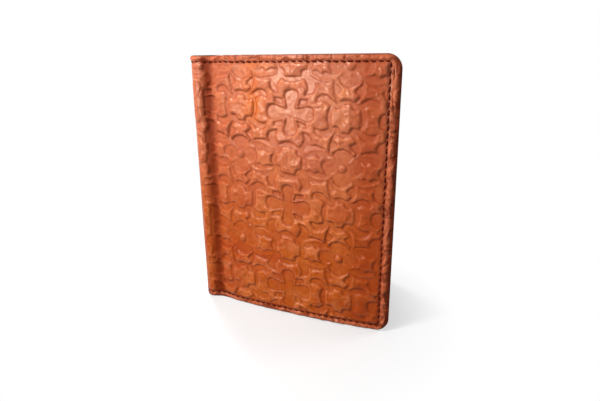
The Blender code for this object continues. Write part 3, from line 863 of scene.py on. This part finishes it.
def build_half(side):
    """Points, faces, flat places and marks of one half of the hide, and how far each point is turned in,
    which sets the painted shade of the turned edge.
    """
    s, z, height, marks = outer_face(side)
    index = np.arange(s.size).reshape(s.shape)
    places = [on_hide(side, s, z, -height).reshape(-1, 3)]
    flats = [np.stack([s, z], -1).reshape(-1, 2)]
    turned_edge_shade = [np.zeros(s.size)]
    values = {name: [mark.ravel()] for name, mark in marks.items()}
    quads, ring_ends, count = [grid_quads(index)], [], s.size
    previous = np.concatenate([index[:, -1], index[-1, -2:0:-1], index[::-1, 0]])
    for inset, share, extra, fade in edge_rings():
        ring, depth, ring_marks = edge_ring(side, inset, share, extra, fade)
        places.append(on_hide(side, ring[:, 0], ring[:, 1], depth))
        flats.append(ring)
        turned_edge_shade.append(np.full(len(ring), 1.0 if share else min(1.0, 1.6 * extra / EDGE_ROUND)))
        for name, mark in ring_marks.items():
            values[name].append(mark * fade)
        current = np.arange(count, count + len(ring))
        quads.append(np.stack([previous[:-1], previous[1:], current[1:], current[:-1]], -1))
        ring_ends.append((current[0], current[-1]))
        count += len(ring)
        previous = current
    faces = np.vstack(quads).tolist() + closing_faces(index, previous, ring_ends)
    marks = {name: np.concatenate(parts) for name, parts in values.items()}
    return np.vstack(places), faces, np.vstack(flats), marks, np.concatenate(turned_edge_shade)

# %% Skins of the two halves, with marks of dye, seams, painted shade and painted sheen
DYE_RUNS = {FRONT: (43 * MM, 119 * MM), BACK: (74 * MM, 50 * MM)}


def dye_shade_and_sheen_marks(side, s, z, turned_edge_shade):
    """Where painted shade darkens the fold, the margins and the turned edge, where a painted sheen lightens
    the head, and where the hide is sewn or dyed darker, from 0 to 1.
    """
    run_s, run_z = DYE_RUNS[side]
    # Painted shade: darker near the fore-edge and beside the fold.
    fore_edge_shade = eased(1 - np.abs(s - FORE_SEAM + 8 * MM) / (14 * MM))
    fold_side_shade = 0.42 * eased(1 - np.abs(s - 23 * MM) / (16 * MM))
    return {
        # Painted shade in the fold valley beside the spine.
        "fold_shade": np.exp(-(((s - 14.2 * MM) / (3.1 * MM)) ** 2)),
        "margin_shade": np.maximum(fore_edge_shade, fold_side_shade),
        "dye_run": np.exp(-(((s - run_s) / (6 * MM)) ** 2) - ((z - run_z) / (16 * MM)) ** 2),
        # Painted shade on the turned edge.
        "turned_edge_shade": np.maximum(turned_edge_shade, eased(1.9 * fore_shoulder(s, z) - 0.35)),
        # Painted sheen: lighter and pinker towards the head.
        "painted_head_sheen": eased((z - 35 * MM) / (95 * MM)),
        "seam": np.exp(-((seam_distance(s, z)[0] / (1.0 * MM)) ** 2)),
    }


skins = {}
for side, name in SIDE_NAMES.items():
    places, faces, flat, marks, turned_edge_shade = build_half(side)
    skin = new_mesh(f"{name}_skin", places, faces, flip=side == FRONT)
    s, z = flat.T
    marks.update(dye_shade_and_sheen_marks(side, s, z, turned_edge_shade))
    for mark, values in marks.items():
        kept = skin.data.attributes.new(mark, "FLOAT", "POINT")
        kept.data.foreach_set("value", values.astype(np.float32))
    kept = skin.data.attributes.new("hide_place", "FLOAT_VECTOR", "POINT")
    kept.data.foreach_set("vector", np.stack([-side * s, 0 * s, z], -1).astype(np.float32).ravel())
    skins[side] = skin
    print(skin.name, "has", len(places), "points and", len(faces), "faces")

# %% [markdown]
# The leather is vegetable tanned, dyed a warm tan and pressed while damp. A picture of leather would be
# quick, but dyes laid over each other can follow the relief, as they do on the bench. A painted pink sheen
# lightens the head, the tops of the islands are worn and carry a painted highlight, the rims of the walls
# carry a painted highlight, and the hem is paler. The hollows and the feet of the walls are darker from
# dye and from painted shade, painted shade darkens the fold, the margins and the turned edge, and the seam
# is darker because dye gathers there.


# %% Dyes, painted shade and painted highlights of the leather
def leather_colour(hide, place, patchy, mottle):
    run = hide.marked("dye_run", hide.spread(patchy, 0.3, 0.6, 0.35, 0.9))
    on_top = hide.spread(hide.stored("ornament"), 0.0, 0.8, 0.45, 1.0)
    # The tops of the islands are lighter, partly from wear and partly as a painted highlight.
    wear_and_highlight_top = hide.maths("MULTIPLY", hide.spread(patchy, 0.46, 0.70, 0.0, 0.55), on_top)
    # Hollows are darker, partly from gathered dye and partly as painted shade.
    hollow_dye_and_shade = hide.spread(hide.stored("hollow_dye_and_shade"), 0.05, 0.8, 0.0, 0.28)
    # The hem band is paler.
    paler_hem = hide.marked("hem", hide.spread(patchy, 0.35, 0.65, 0.3, 0.85))
    stain = hide.spread(hide.noise(place, 260, 2.0, 0.5, 0.8), 0.49, 0.60, 0.0, 0.75)
    broad = hide.spread(hide.noise(place, 48, 2.0), 0.35, 0.65)
    colour = hide.mix(broad, shade(168, 66, 12), shade(180, 84, 18))
    for share, dye in (
        # Painted sheen, pale pink towards the head.
        (hide.marked("painted_head_sheen", 0.46), shade(212, 138, 112)),
        (run, shade(200, 94, 14)),
        (wear_and_highlight_top, shade(212, 124, 76)),
        (hide.spread(mottle, 0.54, 0.26, 0.0, 0.6), shade(142, 48, 6)),
        (hollow_dye_and_shade, shade(120, 36, 2)),
        # Painted shade with some gathered dye, at the feet of the walls and in the hem folds.
        (hide.marked("wall_foot_dye_and_shade", 0.42), shade(108, 28, 0)),
        # Painted highlight with some burnish, on the rims of the walls and on the lips of the hem.
        (hide.marked("wall_rim_burnish_and_highlight", 0.16), shade(226, 134, 88)),
        # Painted shade in the fold valley beside the spine.
        (hide.marked("fold_shade", 0.9), shade(108, 30, 0)),
        # Painted shade near the fore-edge and beside the fold.
        (hide.marked("margin_shade", 0.66), shade(150, 50, 2)),
        (paler_hem, shade(200, 106, 72)),
        (hide.marked("hem", stain), shade(112, 34, 4)),
        # Painted shade on the turned edge.
        (hide.marked("turned_edge_shade", 0.92), shade(98, 28, 2)),
        (hide.marked("seam", 0.5), shade(110, 36, 8)),
    ):
        colour = hide.mix(share, colour, dye)
    return colour


# The pink at the head is a painted sheen.
print("the head is dyed", [round(v, 3) for v in shade(212, 138, 112)[:3]], "over the tan")

# %% [markdown]
# The face of the leather is glazed, so it shines softly where it is flat and hardly at all in hollows,
# folds and turned edges. Pores and the finest crumples are smaller than the mesh, so they are a bump. Its
# shine is a little warm, because the glaze is tinted like the dye.


# %% Embossed tan leather
def leather_roughness(hide, place, mottle):
    rough = hide.spread(hide.noise(place, 1500, 3.0, 0.6), 0.3, 0.7, 0.19, 0.25)
    for added in (
        hide.spread(mottle, 0.35, 0.65, 0.05, -0.05),
        hide.marked("turned_edge_shade", 0.40),
        hide.marked("fold_shade", 0.40),
        hide.maths("MULTIPLY", hide.spread(hide.stored("hollow_dye_and_shade"), 0.0, 0.5), 0.22),
        hide.marked("wall_rim_burnish_and_highlight", 0.08),
    ):
        rough = hide.maths("ADD", rough, added)
    return rough


def embossed_leather():
    hide = Recipe("embossed_tan_leather")
    place = hide.stored("hide_place", "Vector")
    patchy = hide.noise(place, 130, 3.0, 0.55, 0.6)
    mottle = hide.noise(place, 420, 4.0, 0.6, 0.5)
    raised = hide.spread(hide.stored("ornament"), 0.1, 0.7, 0.12, 1.0)
    crumple = hide.bump(hide.maths("MULTIPLY", patchy, raised), 0.0012, 0.42)
    pores = hide.spread(hide.cells(place, 1900), 0.1, 0.6)
    grain = hide.maths("ADD", pores, hide.maths("MULTIPLY", mottle, 1.2))
    return hide.finish(
        leather_colour(hide, place, patchy, mottle),
        leather_roughness(hide, place, mottle),
        hide.bump(grain, 0.00002, 0.8, crumple),
        IOR=1.25,
        Specular_IOR_Level=0.62,
        Specular_Tint=(1.0, 0.84, 0.66, 1.0),
    )


tan_leather = embossed_leather()
for skin in skins.values():
    skin.data.materials.append(tan_leather)
print("made", tan_leather.name, "with", len(tan_leather.node_tree.nodes), "nodes")

# %% [markdown]
# The border seam is one waxed maroon thread. A single tube along the seam would look like a cord, because
# it has no holes. So each stitch is its own small swelling between two holes: a short strand that is fat
# in the middle, dips at both ends and lies a little askew. The row runs along the head, the fore-edge and
# the foot, and the same thread shows on the inner side.


# %% Waxed thread
def waxed_thread():
    thread = Recipe("waxed_maroon_thread")
    strands = thread.noise(thread.object_place(), 2600, 2.0)
    colour = thread.mix(thread.spread(strands, 0.3, 0.7), shade(60, 10, 0), shade(108, 28, 4))
    rough = thread.spread(strands, 0.3, 0.7, 0.6, 0.8)
    return thread.finish(colour, rough, thread.bump(strands, 0.00012, 0.8), Specular_IOR_Level=0.1)


maroon_thread = waxed_thread()
print("made", maroon_thread.name)

# %% One strand for each stitch
THREAD = 0.42 * MM
STRAND_SIDES = 8
STRAND_GIRTH = np.array([0.35, 0.8, 0.97, 1.0, 0.97, 0.8, 0.35])
STRAND_LIFT = np.array([-0.75, 0.05, 0.42, 0.55, 0.42, 0.05, -0.75])


def strand_faces(start):
    """Faces of one strand whose points are numbered from here: a tube with two caps."""
    last = start + (len(STRAND_GIRTH) - 1) * STRAND_SIDES
    faces = []
    for first in range(start, last, STRAND_SIDES):
        for k in range(STRAND_SIDES):
            n, second = (k + 1) % STRAND_SIDES, first + STRAND_SIDES
            faces.append((first + k, first + n, second + n, second + k))
    faces.append(tuple(start + k for k in reversed(range(STRAND_SIDES))))
    faces.append(tuple(last + k for k in range(STRAND_SIDES)))
    return faces


def stitch_strands(holes, outs):
    """Points and faces of one short strand between each pair of neighbouring holes."""
    astray = np.random.RandomState(7).uniform(-1, 1, (len(outs), 2))
    angles = np.linspace(0, 2 * math.pi, STRAND_SIDES, endpoint=False)
    steps = np.linspace(0, 1, len(STRAND_GIRTH))
    places, faces = [], []
    for a, b, out, (lean, off) in zip(holes[:-1], holes[1:], outs, astray):
        length = np.linalg.norm(b - a)
        run = (b - a) / length
        across = np.cross(run, out)
        across /= np.linalg.norm(across)
        faces += strand_faces(len(places) * STRAND_SIDES)
        for share, fat, high in zip(steps, STRAND_GIRTH, STRAND_LIFT):
            centre = a + run * length * (0.06 + 0.88 * share) + out * high * THREAD
            centre = centre + across * THREAD * ((1.0 + 0.7 * lean) * (share - 0.5) + 0.22 * off)
            ring = np.outer(np.cos(angles), across) + 0.8 * np.outer(np.sin(angles), out)
            places.append(centre + ring * THREAD * fat)
    return np.vstack(places), faces


print("one stitch has", len(strand_faces(0)), "faces")


# %% Rows of stitches along the border
def seam_route():
    """Holes of the border seam on the flat hide: along the foot, up the fore-edge, back along the head."""
    across = np.arange(0, FORE_SEAM - 0.6 * STITCH_PITCH, STITCH_PITCH)
    upright = HEIGHT - 2 * SEAM_INSET
    upward = np.linspace(SEAM_INSET, HEIGHT - SEAM_INSET, round(upright / STITCH_PITCH) + 1)
    foot = [(s, SEAM_INSET) for s in across]
    fore = [(FORE_SEAM, z) for z in upward]
    head = [(s, HEIGHT - SEAM_INSET) for s in across[::-1]]
    return np.array(foot + fore + head)


def thread_row(name, side, depth_at, facing):
    """A row of stitches along the border at this depth, facing 1 to the inside or -1 to the outside."""
    holes = seam_route()
    s, z = ((holes[1:] + holes[:-1]) / 2).T
    at = on_hide(side, holes[:, 0], holes[:, 1], depth_at(holes[:, 0], holes[:, 1]))
    deep = depth_at(s, z)
    inward = on_hide(side, s, z, deep + MM) - on_hide(side, s, z, deep)
    outs = facing * inward / np.linalg.norm(inward, axis=1)[:, None]
    row = new_mesh(name, *stitch_strands(at, outs))
    row.data.materials.append(maroon_thread)
    return row


def outer_depth(s, z):
    return valley(s) + 0.74 * MM + 0 * z


outer_rows = {}
for side, name in SIDE_NAMES.items():
    outer_rows[side] = thread_row(f"{name}_outer_thread", side, outer_depth, -1)
    print(name, "seam has", len(seam_route()) - 1, "stitches")

# %% [markdown]
# Inside, each cover has a tray with a woven cotton lining that runs on across the fold to the middle of
# the spine. A cloth simulation would let it sag, but the real one is glued down flat. So it is a thin
# closed sheet, with rows close enough together to bend at the hinge. Its threads are finer than any
# useful mesh, so the weave is a bump of two crossing waves.


# %% A thin closed sheet
def thin_sheet(name, place_of, across, upward, flip):
    """A closed sheet on a grid of places: place_of(across, upward, 0 or 1) gives its two faces."""
    a, b = np.meshgrid(across, upward, indexing="ij")
    near, far = place_of(a, b, 0).reshape(-1, 3), place_of(a, b, 1).reshape(-1, 3)
    index = np.arange(a.size).reshape(a.shape)
    quads, rim = grid_quads(index), rim_of(index)
    faces = np.vstack([quads, quads[:, ::-1] + a.size, loop_quads(rim, rim + a.size)])
    return new_mesh(name, np.vstack([near, far]), faces.tolist(), flip)


print("a thin sheet has two faces and a rim")


# %% Woven cotton
def woven_cotton():
    cloth = Recipe("woven_cotton_lining")
    place = cloth.object_place()
    warp = cloth.node("ShaderNodeTexWave", bands_direction="X")
    weft = cloth.node("ShaderNodeTexWave", bands_direction="Z")
    for wave in (warp, weft):
        cloth.link(place, wave.inputs["Vector"])
        wave.inputs["Scale"].default_value = 700
        wave.inputs["Distortion"].default_value = 0.4
        wave.inputs["Detail"].default_value = 1.0
    weave = cloth.maths("MULTIPLY", warp.outputs["Fac"], weft.outputs["Fac"])
    slub = cloth.noise(cloth.scaled(place, (1, 1, 0.15)), 900, 3.0)
    colour = cloth.mix(cloth.spread(slub, 0.3, 0.7), shade(92, 58, 38), shade(120, 80, 54))
    # The gaps of the weave are painted darker, as shade.
    colour = cloth.mix(cloth.spread(weave, 0.0, 0.5, 0.45, 0.0), colour, shade(58, 34, 22))
    return cloth.finish(colour, 0.85, cloth.bump(weave, 0.00015, 0.9), Sheen_Weight=0.15)


cotton = woven_cotton()
print("made", cotton.name)

# %% Lining of each half
LINING_THICK = 0.4 * MM
LINING_INSET = HEM_WIDTH + 0.3 * MM


def lining_sheet(side):
    """The lining of one half, and its flat size."""
    tray_end = HIDE_END - LINING_INSET
    across = np.concatenate([np.linspace(0, 24 * MM, 33), np.linspace(24 * MM, tray_end, 42)[1:]])
    upward = np.linspace(LINING_INSET, HEIGHT - LINING_INSET, 50)

    def place_of(s, z, face):
        under_valley = 0.45 * MM * valley(s) / VALLEY_DEPTH
        return on_hide(side, s, z, 2.5 * MM + under_valley + face * LINING_THICK)

    cloth = thin_sheet(f"{SIDE_NAMES[side]}_lining", place_of, across, upward, side == BACK)
    return cloth, (float(tray_end), float(upward[-1] - upward[0]))


linings = {}
for side in SIDE_NAMES:
    linings[side], LINING_SIZE = lining_sheet(side)
    linings[side].data.materials.append(cotton)
print("each lining is", [round(v / MM, 1) for v in LINING_SIZE], "mm flat")

# %% [markdown]
# The sleeve that takes the passport's cover, the ticket pocket and the card slots are cut from smooth
# calf. A box with a bevel would do for each, but a real panel has skived round edges and a creased line
# beside its free edge. So each is built from a few grids and rims that follow the bowed cover. Their
# places are given by u from the hinge and by the height.

# %% One leather panel inside a cover
SLEEVE_MARGIN = 1.6 * MM
PANEL_END = COVER_REACH - SLEEVE_MARGIN
PANEL_CORNER = CORNER_RADIUS - SLEEVE_MARGIN
CREASE = np.array([0.12, 0.3, 1.5, 1.75, 1.95, 2.15, 2.4]) * MM


def cover_place(side, u, z, outward):
    plan = on_cover(side, u, outward)
    return np.concatenate([plan, np.broadcast_to(z, plan.shape[:-1])[..., None]], -1)


def crease_dip(distance):
    return 0.14 * MM * np.exp(-(((distance - 1.95 * MM) / (0.22 * MM)) ** 2))


def panel_grid(inset, start, bottom, top, rise, round_top):
    """One face of a panel drawn in by this much: u and z on a grid, and the height of its top edge."""
    end = PANEL_END - PANEL_CORNER
    straight = np.concatenate([start + CREASE, np.linspace(start + 4 * MM, end, 38)])
    angle = np.linspace(0, math.pi / 2, 10)[1:]
    arc = PANEL_CORNER - inset
    u = np.concatenate([np.maximum(straight, start + inset), end + arc * np.sin(angle)])
    cut = np.concatenate([np.full(len(straight), inset), inset + arc * (1 - np.cos(angle))])
    level = top + rise * (u - start) / (PANEL_END - start)
    low = np.broadcast_to(bottom + (cut if bottom < 10 * MM else inset), u.shape)
    high = level - (cut if round_top else inset)
    rows_up = np.linspace(2 * MM, 0.97 * (top - bottom) - 4 * MM, 40)
    rows_up = np.concatenate([np.array([0.12, 0.3]) * MM, rows_up])
    scale = (high - low) / (top - bottom)
    z = np.concatenate([low[:, None] + rows_up * scale[:, None], high[:, None] - CREASE[::-1]], 1)
    z = np.concatenate([low[:, None], z, high[:, None]], 1)
    u = np.concatenate([[start + inset], u])
    level = np.concatenate([level[:1], level])
    return np.repeat(u[:, None], z.shape[1], 1), np.concatenate([z[:1], z]), level[:, None]


def leather_panel(name, side, face, thick, start, bottom, top, rise=0.0, round_top=False):
    """A panel whose hidden face is this far out, with a creased line at its hinge side and its top. Each
    layer says how many millimetres it is drawn in and how far out it lies, from the seen face down."""
    inner = face - thick
    layers = [
        (0.28, inner), (0.10, inner + 0.07 * MM), (0.0, inner + 0.2 * MM),
        (0.0, face - 0.2 * MM), (0.28, face),
    ]
    places, quads, count, previous = [], [], 0, None
    for number, (inset, outward) in enumerate(layers):
        u, z, level = panel_grid(inset * MM, start, bottom, top, rise, round_top)
        if number == 0:
            dip = np.maximum(crease_dip(u - start), crease_dip(level - z))
            lump = 0.05 * MM * blotches(u / MM, z / MM, 14, 21 + len(name))
            outward = inner + dip + lump * np.clip((u - start) / (6 * MM), 0, 1)
        spots = cover_place(side, u, z, outward)
        if number in (0, len(layers) - 1):
            index = count + np.arange(u.size).reshape(u.shape)
            quads.append(grid_quads(index) if number == 0 else grid_quads(index)[:, ::-1])
            places.append(spots.reshape(-1, 3))
            current = rim_of(index)
        else:
            places.append(rim_of(spots))
            current = np.arange(count, count + len(places[-1]))
        count += len(places[-1])
        if previous is not None:
            quads.append(loop_quads(previous, current))
        previous = current
    return new_mesh(name, np.vstack(places), np.vstack(quads).tolist(), flip=side == BACK, sharp=60)


print("panels end", SLEEVE_MARGIN / MM, "mm short of the fore-edge")


# %% Smooth calf
def smooth_calf():
    calf = Recipe("smooth_brown_calf")
    place = calf.object_place()
    broad = calf.spread(calf.noise(place, 45, 3.0), 0.35, 0.65)
    hair = calf.noise(place, 1300, 4.0, 0.65)
    colour = calf.mix(broad, shade(142, 68, 28), shade(166, 88, 40))
    colour = calf.mix(calf.spread(hair, 0.3, 0.7, 0.35, 0.0), colour, shade(96, 42, 14))
    rough = calf.spread(hair, 0.3, 0.7, 0.38, 0.52)
    pores = calf.spread(calf.cells(place, 1500), 0.1, 0.6)
    grain = calf.maths("ADD", pores, calf.maths("MULTIPLY", hair, 1.5))
    return calf.finish(colour, rough, calf.bump(grain, 0.00008, 0.8), Specular_IOR_Level=0.35)


calf = smooth_calf()
print("made", calf.name)

# %% Sleeves, ticket pocket and card slots
INNER = -COVER_HALF
STEP = 0.8 * MM
SLEEVE_FACE, SLEEVE_THICK = INNER - 0.3 * MM, 0.7 * MM
POCKET_FACE, POCKET_THICK = INNER - 1.3 * MM, 0.5 * MM
TICKET_TOP, TICKET_RISE = 84 * MM, 12 * MM
SLOT_TOPS = (100 * MM, 87 * MM, 74 * MM)


def sleeve(side):
    return dict(
        side=side, face=SLEEVE_FACE, thick=SLEEVE_THICK, start=5 * MM,
        bottom=SLEEVE_MARGIN, top=HEIGHT - SLEEVE_MARGIN, round_top=True,
    )


def pocket(side, bottom, top, steps=0, rise=0.0):
    return dict(
        side=side, face=POCKET_FACE - steps * STEP, thick=POCKET_THICK, start=6.5 * MM,
        bottom=bottom, top=top, rise=rise,
    )


panels = {
    "front_document_sleeve": sleeve(FRONT),
    "front_ticket_pocket": pocket(FRONT, SLEEVE_MARGIN, TICKET_TOP, rise=TICKET_RISE),
    "back_document_sleeve": sleeve(BACK),
    "back_card_slot_upper": pocket(BACK, 44 * MM, SLOT_TOPS[0]),
    "back_card_slot_middle": pocket(BACK, 31 * MM, SLOT_TOPS[1], steps=1),
    "back_card_slot_lower": pocket(BACK, SLEEVE_MARGIN, SLOT_TOPS[2], steps=2),
}
for node, pattern in panels.items():
    panel = leather_panel(f"{node}_leather", **pattern)
    panel.data.materials.append(calf)
    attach(panel, f"{SIDE_NAMES[pattern['side']]}_cover")
    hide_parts(node)
    print(panel.name, "has", len(panel.data.polygons), "faces")

# %% [markdown]
# The border thread shows inside too, on whichever layer lies on top at each place, and every pocket has a
# short upright seam beside its hinge end. The rows could be drawn by hand on each layer. Here a function
# says how deep the top layer lies, and the stitches of the outer row are used again.


# %% Border thread on the inside
def inner_depth(side):
    """The depth of the top layer inside one cover, as a function of the place on the flat hide."""

    def depth(s, z):
        on_panel = s - HINGE_S > 5.5 * MM
        on_pocket = s - HINGE_S > 7 * MM
        deep = np.where(on_panel, THICKNESS_COVER + 1.0 * MM, hide_thickness(s) + 0 * z)
        if side == FRONT:
            pocket_top = TICKET_TOP + TICKET_RISE * (s - HINGE_S) / PANEL_END
            return np.where(on_pocket & (z < pocket_top), THICKNESS_COVER + 1.8 * MM, deep)
        for layers, top in enumerate(SLOT_TOPS, 1):
            deep = np.where(on_pocket & (z < top), THICKNESS_COVER + 1.0 * MM + layers * STEP, deep)
        return deep

    return depth


inner_rows = {}
for side, name in SIDE_NAMES.items():
    inner_rows[side] = thread_row(f"{name}_inner_thread", side, inner_depth(side), 1)
    print(inner_rows[side].name, "has", len(inner_rows[side].data.polygons), "faces")

# %% Upright seams of the pockets
SEAM_END = 1.5 * MM
LOWEST_HOLE = SEAM_INSET + STITCH_PITCH


def pocket_seam(node, side, lowest, highest, steps=0):
    """The upright seam of a pocket that lies this many steps in front of the first one."""
    outward = INNER - 1.8 * MM - steps * STEP
    count = round((highest - lowest) / STITCH_PITCH)
    z = np.linspace(lowest, highest, count + 1)
    u = np.full(count + 1, 8.5 * MM)
    holes = cover_place(side, u, z, outward)
    inward = cover_place(side, u[1:], z[1:], outward - MM) - holes[1:]
    seam = new_mesh(f"{node}_thread", *stitch_strands(holes, inward / MM))
    seam.data.materials.append(maroon_thread)
    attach(seam, f"{SIDE_NAMES[side]}_cover")
    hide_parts(node)
    print(seam.name, "has", count, "stitches")


upper, middle, lower = SLOT_TOPS
pocket_seam("front_ticket_pocket_stitching", FRONT, LOWEST_HOLE, TICKET_TOP - SEAM_END)
pocket_seam("back_card_slot_lower_stitching", BACK, LOWEST_HOLE, lower - SEAM_END, steps=2)
pocket_seam("back_card_slot_middle_stitching", BACK, lower + SEAM_END, middle - SEAM_END, steps=1)
pocket_seam("back_card_slot_upper_stitching", BACK, middle + SEAM_END, upper - SEAM_END)

# %% [markdown]
# A stiff strip of grey board fills the spine between the leather and the cloth, and the same board is in
# each cover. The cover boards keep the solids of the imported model, since they are plain plates, and only
# get the board's finish. The strip is bent, so it is a sheet laid along the hide's path.


# %% Grey board
def grey_board():
    board = Recipe("grey_board")
    fibre = board.noise(board.object_place(), 700, 4.0)
    colour = board.mix(board.spread(fibre, 0.3, 0.7), shade(140, 132, 120), shade(170, 162, 150))
    return board.finish(colour, 0.9, board.bump(fibre, 0.0001, 0.6))


pulp_board = grey_board()
for node in ("front_cover_board", "back_cover_board"):
    frame["nodes"][node].data.materials.clear()
    frame["nodes"][node].data.materials.append(pulp_board)
print("made", pulp_board.name, "and gave it to both cover boards")


# %% Strip in the spine
def strip_place(s, z, face):
    deep = 1.45 * MM + face * 0.8 * MM + 0 * s
    return np.where((s < 0)[..., None], on_hide(BACK, -s, z, deep), on_hide(FRONT, s, z, deep))


strip_across = np.linspace(-9 * MM, 9 * MM, 37)
strip_upward = np.linspace(8.4 * MM, HEIGHT - 8.4 * MM, 12)
spine_strip = thin_sheet("spine_strip", strip_place, strip_across, strip_upward, False)
spine_strip.data.materials.append(pulp_board)
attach(spine_strip, "spine")
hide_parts("spine_reinforcement")
print("the strip is", round((strip_across[-1] - strip_across[0]) / MM, 1), "mm wide round the spine")

# %% [markdown]
# When a cover turns, the leather, the thread and the lining bend in the groove beside the spine. Riding
# them on the cover alone would tear them off the spine. Here each of them only has its placing baked into
# its points, with no blend between spine and cover, and the imported parts it stands for are hidden.


def bend_at_hinge(piece):
    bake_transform(piece)


for side, name in SIDE_NAMES.items():
    bend_at_hinge(skins[side])
    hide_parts(f"{name}_cover_leather", "spine_leather")

for side, name in SIDE_NAMES.items():
    for row in (outer_rows[side], inner_rows[side]):
        bend_at_hinge(row)
        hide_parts(f"{name}_cover_stitching", "spine_stitching_foot", "spine_stitching_head")
    bend_at_hinge(linings[side])
    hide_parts(f"{name}_cover_lining", "spine_lining")
